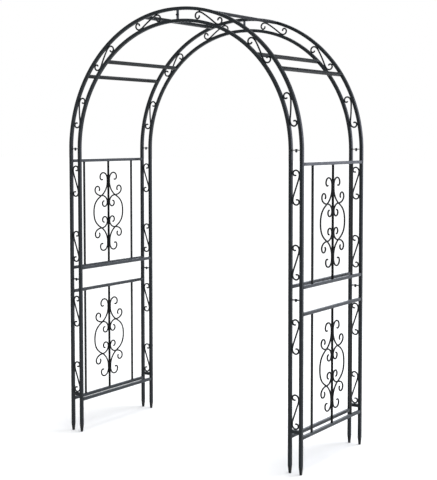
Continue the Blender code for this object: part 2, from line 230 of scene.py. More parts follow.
@dataclass(frozen=True)
class Section:
    """Cross-section of steel stock about its middle, with how exposed each point is."""

    outline: np.ndarray
    wear: np.ndarray

    @classmethod
    def rectangle(cls, width: float, height: float, radius: float, flats: int = 2) -> "Section":
        """Rectangle with round corners: four quarter circles joined by straight sides.

        Args:
            width: Size along the first axis.
            height: Size along the second axis.
            radius: Radius of the corners.
            flats: Points on each straight side.

        Returns:
            The section, most exposed at its corners.
        """
        corner = 90.0 * np.arange(4)[:, None]
        turn = np.radians(corner + np.linspace(0, 90, 5))
        sign = np.sign(rays(turn[:, 2]))
        middle = sign * (width / 2 - radius, height / 2 - radius)
        arcs = middle[:, None] + radius * rays(turn)
        share = np.linspace(0.12, 0.88, flats)[None, :, None]
        straight = arcs[:, -1:] * (1 - share) + np.roll(arcs, -1, axis=0)[:, :1] * share
        wear = np.tile(np.concatenate(((0.35, 0.8, 1.0, 0.8, 0.35), np.zeros(flats))), 4)
        return cls(np.concatenate((arcs, straight), axis=1).reshape(-1, 2), wear)

    @classmethod
    def round(cls, radius: float, sides: int) -> "Section":
        """Circle of a radius, evenly exposed."""
        return cls(radius * rays(full_turn(sides)), np.full(sides, 0.15))

    def along(self, path: np.ndarray, across: np.ndarray, ease: float) -> Skin:
        """Carries the section along a path and rounds the rims of both ends.

        Corner = path + u * across + v * (tangent x across). The rims follow a quarter circle:
        the section shrinks by ease * (1 - sin t) where it is ease * (1 - cos t) from its end.

        Args:
            path: Points of the path, the first and last at the ends of the piece.
            across: Direction of the section's first axis, square to the path.
            ease: Radius of the rims.

        Returns:
            The closed skin.
        """
        steps = np.diff(path, axis=0)
        steps /= np.linalg.norm(steps, axis=1, keepdims=True)
        tangent = np.concatenate((steps[:1], steps[:-1] + steps[1:], steps[-1:]))
        tangent /= np.linalg.norm(tangent, axis=1, keepdims=True)
        turn = np.radians((0, 30, 60, 90))[:, None]
        inset = ease * (1 - np.cos(turn))
        shrink = 1 - ease * (1 - np.sin(turn)) / np.abs(self.outline).max()
        centres = np.concatenate((path[0] + tangent[0] * inset, path[1:-1],
                                  (path[-1] - tangent[-1] * inset)[::-1]))
        heading = np.concatenate((tangent[[0] * 4], tangent[1:-1], tangent[[-1] * 4]))
        scale = np.concatenate((shrink, np.ones((len(path) - 2, 1)), shrink[::-1]))[:, None]
        over = np.cross(heading, across)
        sections = centres[:, None] + scale * (self.outline[:, :1] * across
                                               + self.outline[:, 1:] * over[:, None])
        rim = np.concatenate(((1, 1, 0.6, 0.2), np.zeros(len(path) - 2), (0.2, 0.6, 1, 1)))
        return Skin.over(sections, np.maximum(self.wear[None, :], rim[:, None]))


@dataclass(frozen=True)
class Weld:
    """Bead of weld metal under the coat: a cord with the ripples of the pool that laid it."""

    radius: float = 1.5 * MM
    ripple: float = 1.9 * MM
    depth: float = 0.13
    sides: int = 8
    steps: int = 4
    sunk: float = 0.45
    wear: float = 0.25

    def swell(self, way: np.ndarray) -> np.ndarray:
        """Radius along the bead: round ripples on a slower, uneven swell.

        Args:
            way: Distances along it.

        Returns:
            The radius at each of them.
        """
        ripple = np.abs(np.sin(np.pi * way / self.ripple)) - 0.6
        slow = np.sin(2 * np.pi * way / (9.7 * self.ripple)) + np.sin(way / (1.3 * self.ripple))
        return self.radius * (1 + self.depth * ripple + 0.06 * slow)

    def laid(self, spine: np.ndarray, radius: np.ndarray, circle: np.ndarray,
             looped: bool = False) -> Skin:
        """Closed skin of a cord along a middle line: corner = spine + radius * circle."""
        sections = spine[:, None] + radius[:, None, None] * circle
        return Skin.over(sections, self.wear, film=1.0, looped=looped)

    def ring(self, section: Section, centre: Sequence[float], across: np.ndarray,
             over: np.ndarray) -> Skin:
        """Bead laid round stock: a circle, partly sunk, carried round the section's outline.

        Args:
            section: Section that the bead runs round.
            centre: Middle of that section.
            across: Direction of the section's first axis.
            over: Direction of its second axis.

        Returns:
            The closed skin.
        """
        loop = np.concatenate((section.outline, section.outline[:1]))
        reach = np.append(0, np.cumsum(np.linalg.norm(np.diff(loop, axis=0), axis=1)))
        count = self.steps * round(reach[-1] / self.ripple)
        way = np.arange(count) / count * reach[-1]
        spot = np.stack([np.interp(way, reach, loop[:, axis]) for axis in (0, 1)], -1)
        ahead = np.roll(spot, -1, axis=0) - np.roll(spot, 1, axis=0)
        ahead /= np.linalg.norm(ahead, axis=1, keepdims=True)
        plane = np.stack((across, over))
        outward = np.stack((ahead[:, 1], -ahead[:, 0]), -1) @ plane
        lean, rise = rays(full_turn(self.sides)).T[:, :, None]
        circle = (lean - self.sunk) * outward[:, None] + rise * np.cross(across, over)
        return self.laid(centre + spot @ plane, self.swell(way), circle, looped=True)

    def seam(self, middle: Sequence[float], half: np.ndarray) -> Skin:
        """Short straight bead: its radius fades at both ends as the fourth root of a parabola.

        Args:
            middle: Its middle.
            half: Way from its middle to its end.

        Returns:
            The closed skin.
        """
        span = 2 * np.linalg.norm(half)
        heading = 2 * half / span
        across = np.cross(heading, Y_AXIS if abs(heading[1]) < 0.7 else Z_AXIS)
        across /= np.linalg.norm(across)
        pace = np.linspace(0.06, 0.94, self.steps * round(span / self.ripple))
        share = (1 - np.cos(pace * np.pi)) / 2
        radius = self.swell(share * span) * (4 * share * (1 - share)) ** 0.25
        circle = rays(full_turn(self.sides)) @ (across, np.cross(heading, across))
        return self.laid(middle + (2 * share[:, None] - 1) * half, radius, circle)

    def collared(self, stock: Section, path: np.ndarray, across: np.ndarray,
                 over: np.ndarray, collar: Section | None = None) -> Skin:
        """Straight stock with a bead round each end, on its own outline or on a collar's."""
        rings = [self.ring(collar or stock, end, across, over) for end in path[[0, -1]]]
        return Skin.joined([stock.along(path, across, 0.2 * MM), *rings])


@dataclass(frozen=True)
class Run:
    """Straight stretch of a bent wire."""

    length: float


@dataclass(frozen=True)
class Turn:
    """Bend of a wire, whose radius changes by a steady factor from first to last."""

    degrees: float
    first: float
    last: float


def bend(start: Sequence[float], heading: float, steps: Sequence[Run | Turn]) -> np.ndarray:
    """Plane path of a bent wire.

    Along a turn the radius is first * (last / first) ** share, where share is how much of the
    turn is done, and the path is the running sum of its short steps.

    Args:
        start: First point.
        heading: Direction at the start, in degrees.
        steps: Straight runs and turns, in order.

    Returns:
        Points of the path, with no more than about 7 degrees between neighbours.
    """
    lengths, headings = [], []
    for step in steps:
        if isinstance(step, Run):
            lengths.append(np.full(2, step.length / 2))
            headings.append(np.full(2, heading))
            continue
        count = math.ceil(abs(step.degrees) / 7.0)
        share = (np.arange(count) + 0.5) / count
        radius = step.first * (step.last / step.first) ** share
        lengths.append(radius * math.radians(abs(step.degrees)) / count)
        headings.append(heading + step.degrees * share)
        heading += step.degrees
    turn = np.radians(np.concatenate(headings))
    moves = np.concatenate(lengths)[:, None] * rays(turn)
    return np.concatenate(([start], start + np.cumsum(moves, axis=0)))


# ---- finishes --------------------------------------------------------------------


def linear(colour: str) -> tuple[float, float, float, float]:
    """Linear colour of an sRGB hex value."""
    values = [int(colour[k:k + 2], 16) / 255 for k in (1, 3, 5)]
    return (*(v / 12.92 if v <= 0.04045 else ((v + 0.055) / 1.055) ** 2.4 for v in values), 1.0)


def add(tree: bpy.types.NodeTree, kind: str, inputs: dict | None = None,
        out: int | str = 0, **settings: object) -> bpy.types.NodeSocket | None:
    """Adds a shader node with its settings and links.

    Args:
        tree: Node tree that it goes into.
        kind: Type of the node, without the prefix that all of them share.
        inputs: Its inputs by name or number: a value, or the output that feeds it.
        out: Name or number of the output that is wanted.
        settings: Its other properties.

    Returns:
        That output, or None for a node that has no outputs.
    """
    node = tree.nodes.new(f"ShaderNode{kind}")
    for key, value in settings.items():
        setattr(node, key, value)
    for key, value in (inputs or {}).items():
        if isinstance(value, bpy.types.NodeSocket):
            tree.links.new(value, node.inputs[key])
        else:
            node.inputs[key].default_value = value
    return node.outputs[out] if len(node.outputs) else None


@dataclass(frozen=True)
class Finish:
    """Look of a surface, worked out on Object coordinates in metres."""

    name: str

    def shader(self, tree: bpy.types.NodeTree,
               place: bpy.types.NodeSocket) -> bpy.types.NodeSocket:
        """Adds the nodes of the look from the place on the surface, and gives their output."""
        raise NotImplementedError

    def material(self) -> bpy.types.Material:
        """Builds the node material.

        Returns:
            The material.
        """
        material = bpy.data.materials.new(self.name)
        material.use_nodes = True
        tree = material.node_tree
        tree.nodes.clear()
        place = add(tree, "TexCoord", out="Object")
        add(tree, "OutputMaterial", {"Surface": self.shader(tree, place)})
        return material


@dataclass(frozen=True)
class PowderCoat(Finish):
    """Satin polyester powder coat: sprayed dry on steel and baked to a thin plastic film.

    It gives the eye an even dark grey with soft highlights. The film is a little mottled, has
    the low waves of orange peel, is thin and pale where it draws back from an edge, and is
    thick and dark on weld beads, round side bars and stake tips.
    """

    film: str = "#14181b"
    mottle: str = "#1e2428"
    thin: str = "#4a5156"
    thick: str = "#090a0b"
    roughness: float = 0.46
    shine: float = 0.2
    peel_mm: float = 3.0
    grit_mm: float = 0.8
    mottle_mm: float = 70.0

    def shader(self, tree: bpy.types.NodeTree,
               place: bpy.types.NodeSocket) -> bpy.types.NodeSocket:
        """Adds the coat's nodes.

        Args:
            tree: Node tree of the material.
            place: Place on the surface.

        Returns:
            The shader's output.
        """
        # Orange peel is 2 to 4 mm from crest to crest, and is drawn at its real size. Powder
        # grains are 0.05 mm and too fine to show, so the grit is drawn at 0.8 mm.
        peel, grit, cloud = (
            add(tree, "TexNoise", {"Vector": place, "Scale": 1000 / size, "Detail": detail,
                                   "Roughness": roughness})
            for size, detail, roughness in ((self.peel_mm, 2.0, 0.45), (self.grit_mm, 3.0, 0.6),
                                            (self.mottle_mm, 4.0, 0.62)))
        shade = add(tree, "MapRange", {0: cloud, 1: 0.32, 2: 0.70})
        speck = add(tree, "MapRange", {0: grit, 1: 0.60, 2: 0.78, 4: 0.2})
        film = add(tree, "Attribute", out="Fac", attribute_name="thick_film")
        thick = add(tree, "Math", {0: film, 1: 0.85}, operation="MULTIPLY")
        # Edges: the attribute is 1 on a corner's crest, broken up by the mottle and the grit.
        edge = add(tree, "Attribute", out="Fac", attribute_name="edge_wear")
        broken = add(tree, "Math", {0: cloud, 1: 1.5, 2: edge}, operation="MULTIPLY_ADD")
        rubbed = add(tree, "Math", {0: grit, 1: 0.5, 2: broken}, operation="MULTIPLY_ADD")
        worn = add(tree, "MapRange", {0: rubbed, 1: 1.55, 2: 2.25, 4: 0.5})
        colour = linear(self.film)
        for share, tone in ((shade, self.mottle), (speck, self.thin), (thick, self.thick),
                            (worn, self.thin)):
            colour = add(tree, "Mix", {0: share, 6: colour, 7: linear(tone)}, out=2,
                         data_type="RGBA")
        gloss = add(tree, "MapRange", {0: cloud, 1: 0.3, 2: 0.7, 3: self.roughness - 0.06,
                                       4: self.roughness + 0.07})
        rough = add(tree, "Math", {0: worn, 1: -0.08, 2: gloss}, operation="MULTIPLY_ADD",
                    use_clamp=True)
        grain = add(tree, "Bump", {"Height": grit, "Distance": 0.05 * MM, "Strength": 0.5})
        waves = add(tree, "Bump", {"Height": peel, "Distance": 0.18 * MM, "Strength": 0.6,
                                   "Normal": grain})
        return add(tree, "BsdfPrincipled", {
            "Base Color": colour, "Roughness": rough, "Normal": waves, "IOR": 1.5,
            "Specular IOR Level": self.shine})


@dataclass(frozen=True)
class BlackZinc(Finish):
    """Black-passivated zinc plate on steel fasteners: a thin, slightly uneven metal film.

    It gives the eye a dark metal with sharper glints than the coat, rubbed bright on corners.
    """

    film: str = "#24272b"
    rubbed: str = "#6d7177"
    roughness: float = 0.36
    scuff_mm: float = 1.2

    def shader(self, tree: bpy.types.NodeTree,
               place: bpy.types.NodeSocket) -> bpy.types.NodeSocket:
        """Adds the plate's nodes.

        Args:
            tree: Node tree of the material.
            place: Place on the surface.

        Returns:
            The shader's output.
        """
        scuff = add(tree, "TexNoise", {"Vector": place, "Scale": 1000 / self.scuff_mm,
                                       "Detail": 4.0, "Roughness": 0.65})
        edge = add(tree, "Attribute", out="Fac", attribute_name="edge_wear")
        total = add(tree, "Math", {0: edge, 1: scuff})
        worn = add(tree, "MapRange", {0: total, 1: 0.85, 2: 1.5, 4: 0.8})
        colour = add(tree, "Mix", {0: worn, 6: linear(self.film), 7: linear(self.rubbed)},
                     out=2, data_type="RGBA")
        rough = add(tree, "MapRange", {0: scuff, 1: 0.3, 2: 0.7, 3: self.roughness - 0.08,
                                       4: self.roughness + 0.12})
        bump = add(tree, "Bump", {"Height": scuff, "Distance": 0.04 * MM, "Strength": 0.6})
        return add(tree, "BsdfPrincipled", {"Base Color": colour, "Roughness": rough,
                                            "Normal": bump, "Metallic": 1.0})


@dataclass(frozen=True)
class PaintedFloor(Finish):
    """Matte white studio paint, rolled on a smooth floor."""

    name: str = "matte_floor_paint"
    paint: str = "#f6f6f5"
    roller_mm: float = 6.0

    def shader(self, tree: bpy.types.NodeTree,
               place: bpy.types.NodeSocket) -> bpy.types.NodeSocket:
        """Adds the paint's nodes, with the faint stipple of a roller.

        Args:
            tree: Node tree of the material.
            place: Place on the surface.

        Returns:
            The shader's output.
        """
        stipple = add(tree, "TexNoise", {"Vector": place, "Scale": 1000 / self.roller_mm,
                                         "Detail": 2.0})
        bump = add(tree, "Bump", {"Height": stipple, "Distance": 0.1 * MM, "Strength": 0.3})
        return add(tree, "BsdfPrincipled", {
            "Base Color": linear(self.paint), "Roughness": 0.9, "Normal": bump,
            "Specular IOR Level": 0.0})


def coats() -> dict[Slot, bpy.types.Material]:
    """Makes one finish for each of the record's slots; the rail coat is paler with painted light,
    the cross bar and scrollwork coats darker with painted shade.

    Returns:
        The materials by slot.
    """
    finishes = {
        Slot.OUTER_TUBE: PowderCoat("satin_powder_coat_outer_tube"),
        Slot.LADDER: PowderCoat("satin_powder_coat_ladder"),
        # Paler film and mottle: a lit copy of the same powder coat, with painted light in its
        # colour.
        Slot.RAIL: PowderCoat("satin_powder_coat_rail", film="#1d2225", mottle="#2b3136",
                              shine=0.34),
        # Darker film and mottle: a shaded copy of the same powder coat, with painted shade in its
        # colour.
        Slot.CROSS_BAR: PowderCoat("satin_powder_coat_cross_bar", film="#101314",
                                   mottle="#181c1d", shine=0.14),
        # Near-black film and mottle: a shaded copy of the same powder coat, with painted shade in
        # its colour.
        Slot.SCROLLWORK: PowderCoat("satin_powder_coat_scrollwork", film="#070808",
                                    mottle="#0c0d0e", shine=0.1, mottle_mm=45.0),
        Slot.BOLT: BlackZinc("black_zinc_plated_steel"),
    }
    return {slot: finish.material() for slot, finish in finishes.items()}


# ---- sizes -----------------------------------------------------------------------


@dataclass(frozen=True)
class Sizes:
    """Places and stock sizes, read from the frame's nodes."""

    outer_x: float
    inner_x: float
    frame_y: float
    tube: float
    rail: float
    rail_end: float
    joint_z: float
    arch_joint_z: float
    apex_z: float
    arc_centre_x: float = 8 * MM
    gap: float = 0.3 * MM
    plate: float = 2 * MM
    plate_width: float = 15 * MM
    plate_set: float = 0.2 * MM
    wire: float = 4 * MM
    bar: float = 6 * MM

    @classmethod
    def from_frame(cls) -> "Sizes":
        """Reads the sizes from the boxes of the right-hand back quarter.

        Returns:
            The sizes, in metres.
        """
        low, high = map(np.array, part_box("upper_post_outer_back_right"))
        inner_low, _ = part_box("lower_post_inner_back_right")
        rail_low, rail_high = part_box("rail_top_right")
        bolt_low, bolt_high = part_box("bolt_spring_back_right")
        arch_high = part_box("arch_quarter_outer_back_right")[1]
        tube = high[0] - low[0]
        head, stem = 3.6 * MM, 8 * MM
        return cls(outer_x=(low[0] + high[0]) / 2, inner_x=inner_low[0] + tube / 2,
                   frame_y=(low[1] + high[1]) / 2, tube=tube, rail=rail_high[2] - rail_low[2],
                   rail_end=rail_high[1], joint_z=low[2] - 0.15 * MM,
                   arch_joint_z=(bolt_low[2] + stem + bolt_high[2] - head) / 2,
                   apex_z=arch_high[2] - tube / 2)

    @property
    def middle_x(self) -> float:
        """Middle of the ladder between its two tubes."""
        return (self.outer_x + self.inner_x) / 2

    @property
    def spring_z(self) -> float:
        """Height of the point that the quarters bend about."""
        return self.apex_z - self.outer_x + self.arc_centre_x

    @property
    def plate_face(self) -> float:
        """Distance from a joint to the near face of its bolting plates."""
        return self.gap / 2 + self.plate_set

    @property
    def clear(self) -> float:
        """Distance from the middle of the ladder to the face of either tube."""
        return (self.outer_x - self.inner_x - self.tube) / 2

    @property
    def apex_bolt_z(self) -> float:
        """Height of the ladder's middle at the apex."""
        return self.spring_z + self.middle_x - self.arc_centre_x

    def tube_section(self, flats: int = 2) -> Section:
        """Section of the square frame tube."""
        return Section.rectangle(self.tube, self.tube, 1.6 * MM, flats)

    def rail_section(self) -> Section:
        """Section of the square rail tube."""
        return Section.rectangle(self.rail, self.rail, 1.4 * MM)

    def upright_bar(self, x: float, y: float, low: float, high: float, steps: int) -> Skin:
        """Round bar between two rails, with a weld collar at each end."""
        path = np.linspace((x, y, low), (x, y, high), steps)
        return Weld(radius=1.2 * MM).collared(Section.round(self.bar, 20), path, X_AXIS, Y_AXIS)


def placed(name: str, data: bpy.types.ID) -> bpy.types.Object:
    """Adds an object to the scene.

    Args:
        name: Its name.
        data: Its mesh, light or camera.

    Returns:
        The object.
    """
    item = bpy.data.objects.new(name, data)
    bpy.context.scene.collection.objects.link(item)
    return item


@dataclass(frozen=True)
class Assembly:
    """Pieces of one kind, with the sizes and the finishes that they share."""

    sizes: Sizes
    finishes: dict[Slot, bpy.types.Material]

    def dress(self) -> None:
        """Makes the pieces and gives them their finishes."""
        raise NotImplementedError

    def show(self, skin: Skin, name: str, slot: Slot, replaced: str | None = None) -> None:
        """Makes a piece's mesh object, at the origin, and hands it to the frame.

        Args:
            skin: Surface of the piece.
            name: Name of the object.
            slot: The record's slot that its finish belongs to.
            replaced: The CAD node that it stands for, if any.
        """
        mesh = bpy.data.meshes.new(name)
        mesh.from_pydata(skin.points.tolist(), [], skin.quads.tolist() + skin.fans.tolist())
        for label, values in (("edge_wear", skin.wear), ("thick_film", skin.film)):
            layer = mesh.attributes.new(label, "FLOAT", "POINT")
            layer.data.foreach_set("value", values.astype(np.float32))
        mesh.materials.append(self.finishes[slot])
        mesh.shade_smooth()
        mesh.set_sharp_from_angle(angle=math.radians(SHARP_ANGLE))
        piece = placed(name, mesh)
        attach(piece, "root")
        if replaced:
            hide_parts(replaced)
        LOG.info("%s: %d faces", name, len(mesh.polygons))


# ---- ladder frames ---------------------------------------------------------------


@dataclass(frozen=True)
class LadderScroll:
    """S of bent wire between the tubes of a ladder: a slanting stem with a curl at each end."""

    sizes: Sizes
    shift: float
    tilt: float = 19.4
    reach: float = 17.0 * MM
    bend_radius: float = 60.0 * MM
    curl: tuple[Turn, ...] = (Turn(90, 22.7 * MM, 16.1 * MM), Turn(90, 16.1 * MM, 11.7 * MM),
                              Turn(130, 11.7 * MM, 8.0 * MM))
    tack_place: float = 0.975
    tack_side: float = 3.1 * MM
    tack_half: float = 4 * MM

    def path(self) -> np.ndarray:
        """The S in the plane of the ladder, across towards the outer tube and along it.

        Returns:
            Points, the second half being the first one turned half round.
        """
        tilt = math.radians(self.tilt)
        stem = (self.reach - self.bend_radius * (1 - math.cos(tilt))) / math.sin(tilt)
        steps = (Run(stem), Turn(self.tilt, self.bend_radius, self.bend_radius), *self.curl)
        half = bend((0, 0), 90 - self.tilt, steps)
        return np.concatenate((-half[:0:-1], half)) + (self.shift, 0)

    def skin(self) -> Skin:
        """Wire and its tack welds, with X across and Z along the ladder.

        Each curl is tacked at the point where it touches a tube, by a bead on either side.

        Returns:
            The joined skins.
        """
        flat = self.path()
        path = np.stack((flat[:, 0], np.zeros(len(flat)), flat[:, 1]), -1)
        wire = Section.round(self.sizes.wire, 12).along(path, Y_AXIS, 0.7 * MM)
        weld = Weld(radius=1.3 * MM)
        place = self.sizes.clear * self.tack_place
        beads = [weld.seam((x, y, flat[touch, 1]), self.tack_half * Z_AXIS)
                 for touch, x in ((flat[:, 0].argmin(), -place), (flat[:, 0].argmax(), place))
                 for y in (-self.tack_side, self.tack_side)]
        return Skin.joined([wire, *beads])


@dataclass(frozen=True)
class Ladder(Assembly):
    """Twin square tubes of the front and back frames, with their scrolls, plates and stakes."""

    leg_scrolls: dict[str, tuple[float, ...]] = field(default_factory=lambda: {
        "lower": (288 * MM, 635 * MM), "upper": (976 * MM, 1317 * MM)})
    arch_scrolls: tuple[float, ...] = (17.0, 45.5, 74.6)
    stretcher_z: float = 197 * MM
    taper: float = 38 * MM
    tip: float = 9.5 * MM
    crimp: float = 1.3 * MM
    spigot: float = 12.8 * MM
    spigot_length: float = 12 * MM
    ease: float = 0.6 * MM
    leg_shift: float = -0.7 * MM
    arch_shift: float = -1.2 * MM
    arc_steps: int = 90
    plate_lap: float = 0.5 * MM
    fillet_half: float = 6 * MM

    def lower_tube(self, x: float) -> Skin:
        """Leg with its stake: a tube that narrows to a crimped square tip.

        Over the taper the side shrinks evenly towards the tip, and each flat is pressed in
        along its middle by crimp * (1 - height / taper) ** 0.7 * exp(-(place / 0.4) ** 2).

        Args:
            x: Middle of the tube.

        Returns:
            The closed skin.
        """
        section = self.sizes.tube_section(flats=7)
        top = self.sizes.joint_z - self.sizes.gap / 2
        foot = np.linspace(0, 1, 13)
        shaft = np.linspace(self.taper, top - self.ease, 20)[1:]
        turn = np.radians((30, 60, 90))
        rim = top - self.ease * (1 - np.sin(turn))
        heights = np.concatenate(((0,), foot * self.taper, shaft, rim,
                                  (top, top + self.spigot_length)))
        heights[1] = 0.5 * MM
        left = np.clip(1 - heights / self.taper, 0, 1)
        scale = 1 + left * (self.tip / self.sizes.tube - 1)
        scale[0] *= 0.9
        shrunk = self.ease * (1 - np.cos(turn)) / (self.sizes.tube / 2)
        scale[-5:-2] = 1 - shrunk
        scale[-2:] = self.spigot / self.sizes.tube
        outline = section.outline[None] * scale[:, None, None]
        size = np.abs(outline).max(axis=-1, keepdims=True)
        place = np.abs(outline).min(axis=-1, keepdims=True) / size
        press = self.crimp * left[:, None, None] ** 0.7 * np.exp(-(place / 0.4) ** 2)
        outline = outline * (1 - press / size)
        sections = np.concatenate((outline + (x, 0), np.broadcast_to(
            heights[:, None, None], (*outline.shape[:2], 1))), axis=-1)
        rubbed = np.concatenate((np.full(2, 0.3), 0.2 * (1 - foot[1:]), np.zeros(len(shaft)),
                                 (0.6, 1, 1), (0.5, 0.5)))
        skin = Skin.over(sections, np.maximum(section.wear[None, :], rubbed[:, None]))
        return replace(skin, film=(skin.points[:, 2] < self.taper).astype(float))

    def upper_tube(self, x: float) -> Skin:
        """Straight tube between the joint of the legs and the joint of the arch.

        Args:
            x: Middle of the tube.

        Returns:
            The tube and its spigot.
        """
        low = self.sizes.joint_z + self.sizes.gap / 2
        high = self.sizes.arch_joint_z - self.sizes.gap / 2
        tube = self.sizes.tube_section().along(
            np.linspace((x, 0, low), (x, 0, high), 16), Y_AXIS, self.ease)
        stub = np.array([(x, 0, high + rise) for rise in (-2 * MM, 0, self.spigot_length)])
        spigot = Section.rectangle(self.spigot, self.spigot, 1.2 * MM)
        return Skin.joined([tube, spigot.along(stub, Y_AXIS, self.ease)])

    def quarter_tube(self, radius: float) -> Skin:
        """Bent tube from the leg joint to the apex: a circle's arc, then a short straight end.

        Args:
            radius: Radius of the tube's middle line.

        Returns:
            The closed skin.
        """
        sizes = self.sizes
        rise = sizes.arch_joint_z + sizes.gap / 2 - sizes.spring_z
        turn = np.linspace(math.asin(rise / radius), np.pi / 2, self.arc_steps)
        arc = (sizes.arc_centre_x, 0, sizes.spring_z) + radius * rays(turn) @ (X_AXIS, Z_AXIS)
        path = np.concatenate((arc, [(sizes.gap / 2, 0, sizes.spring_z + radius)]))
        return sizes.tube_section().along(path, Y_AXIS, self.ease)

    def scroll_on_leg(self, height: float) -> Skin:
        """Scroll in a straight ladder, with its middle at a height."""
        scroll = LadderScroll(self.sizes, self.leg_shift)
        return scroll.skin().moved(self.sizes.middle_x, 0, height)

    def scroll_on_arch(self, degrees: float) -> Skin:
        """Scroll in the bent ladder: across becomes radius, along becomes angle.

        Args:
            degrees: Angle of its middle above the bending centre.

        Returns:
            The bent skin.
        """
        sizes = self.sizes
        middle = sizes.middle_x - sizes.arc_centre_x

        def rolled(points: np.ndarray) -> np.ndarray:
            """Rolls the straight ladder's plane round the bending centre.

            Args:
                points: Places on the straight ladder.

            Returns:
                The same places on the bent one.
            """
            angle = math.radians(degrees) + points[:, 2] / middle
            radius = middle + points[:, 0]
            return np.stack((sizes.arc_centre_x + radius * np.cos(angle), points[:, 1],
                             sizes.spring_z + radius * np.sin(angle)), -1)

        return LadderScroll(sizes, self.arch_shift).skin().shaped(rolled).outward()

    def slab(self, start: np.ndarray, way: np.ndarray, across: np.ndarray,
             weld_at: np.ndarray) -> Skin:
        """Bolting plate between the tubes, with fillet welds along both of its ends.

        Args:
            start: Middle of its first face.
            way: From there to the middle of its other face.
            across: Direction from tube to tube.
            weld_at: Middle of the face that the welds are on.

        Returns:
            The joined skins.
        """
        clear = self.sizes.clear
        section = Section.rectangle(2 * (clear + self.plate_lap), self.sizes.plate_width,
                                    0.5 * MM)
        weld = Weld(radius=1.25 * MM)
        beads = [weld.seam(weld_at + side * clear * across, self.fillet_half * Y_AXIS)
                 for side in (-1, 1)]
        path = np.linspace(start, start + way, 3)
        return Skin.joined([section.along(path, across, 0.4 * MM), *beads])

    def plate(self, low: float, welded_below: bool) -> Skin:
        """Level bolting plate.

        Args:
            low: Height of its lower face.
            welded_below: Whether the welds are on its lower face, away from the joint.

        Returns:
            The plate and its welds.
        """
        start = np.array((self.sizes.middle_x, 0, low))
        way = self.sizes.plate * Z_AXIS
        return self.slab(start, way, X_AXIS, start if welded_below else start + way)

    def apex_plate(self) -> Skin:
        """Upright bolting plate at the top of a quarter.

        Returns:
            The plate and its welds.
        """
        start = np.array((self.sizes.plate_face, 0, self.sizes.apex_bolt_z))
        way = self.sizes.plate * X_AXIS
        return self.slab(start, way, Z_AXIS, start + way)

    def stretcher(self) -> Skin:
        """Short level tube between the two legs near the ground, welded round both ends.

        Returns:
            The tube and its welds.
        """
        sizes = self.sizes
        stock, collar = (Section.rectangle(side, side, 1.5 * MM)
                         for side in (sizes.tube - 0.4 * MM, sizes.tube - 1.2 * MM))
        middle = np.array((sizes.middle_x, 0, self.stretcher_z))
        half = sizes.clear * X_AXIS
        path = np.linspace(middle - half, middle + half, 4)
        return Weld(radius=1.0 * MM).collared(stock, path, Y_AXIS, Z_AXIS, collar)

    def quarters(self) -> Iterator[tuple[str, Skin, Slot]]:
        """The six kinds of frame piece, made for the right-hand side at y = 0.

        Yields:
            Name of the kind, its skin and its slot.
        """
        sizes = self.sizes
        below, above = -sizes.plate_face - sizes.plate, sizes.plate_face
        lower_plate = self.plate(sizes.joint_z + below, True)
        upper_plates = [self.plate(sizes.joint_z + above, False),
                        self.plate(sizes.arch_joint_z + below, True)]
        spring_plate = self.plate(sizes.arch_joint_z + above, False)
        lower = [self.scroll_on_leg(height) for height in self.leg_scrolls["lower"]]
        upper = [self.scroll_on_leg(height) for height in self.leg_scrolls["upper"]]
        arch = [self.scroll_on_arch(degrees) for degrees in self.arch_scrolls]
        outer_radius = sizes.outer_x - sizes.arc_centre_x
        inner_radius = sizes.inner_x - sizes.arc_centre_x
        yield "lower_post_outer", self.lower_tube(sizes.outer_x), Slot.OUTER_TUBE
        yield "upper_post_outer", self.upper_tube(sizes.outer_x), Slot.OUTER_TUBE
        yield "arch_quarter_outer", self.quarter_tube(outer_radius), Slot.OUTER_TUBE
        yield "lower_post_inner", Skin.joined(
            [self.lower_tube(sizes.inner_x), self.stretcher(), lower_plate, *lower]), Slot.LADDER
        yield "upper_post_inner", Skin.joined(
            [self.upper_tube(sizes.inner_x), *upper_plates, *upper]), Slot.LADDER
        yield "arch_quarter_inner", Skin.joined(
            [self.quarter_tube(inner_radius), spring_plate, self.apex_plate(), *arch]), Slot.LADDER

    def dress(self) -> None:
        """Makes the 24 pieces of both frames and gives them their coats."""
        for kind, skin, slot in self.quarters():
            for end in End:
                for side in Side:
                    node = f"{kind}_{end.name.lower()}_{side.name.lower()}"
                    copy = skin.mirrored(side, end).moved(y=end.value * self.sizes.frame_y)
                    self.show(copy, f"{node}_tube", slot, node)


# ---- side panels -----------------------------------------------------------------


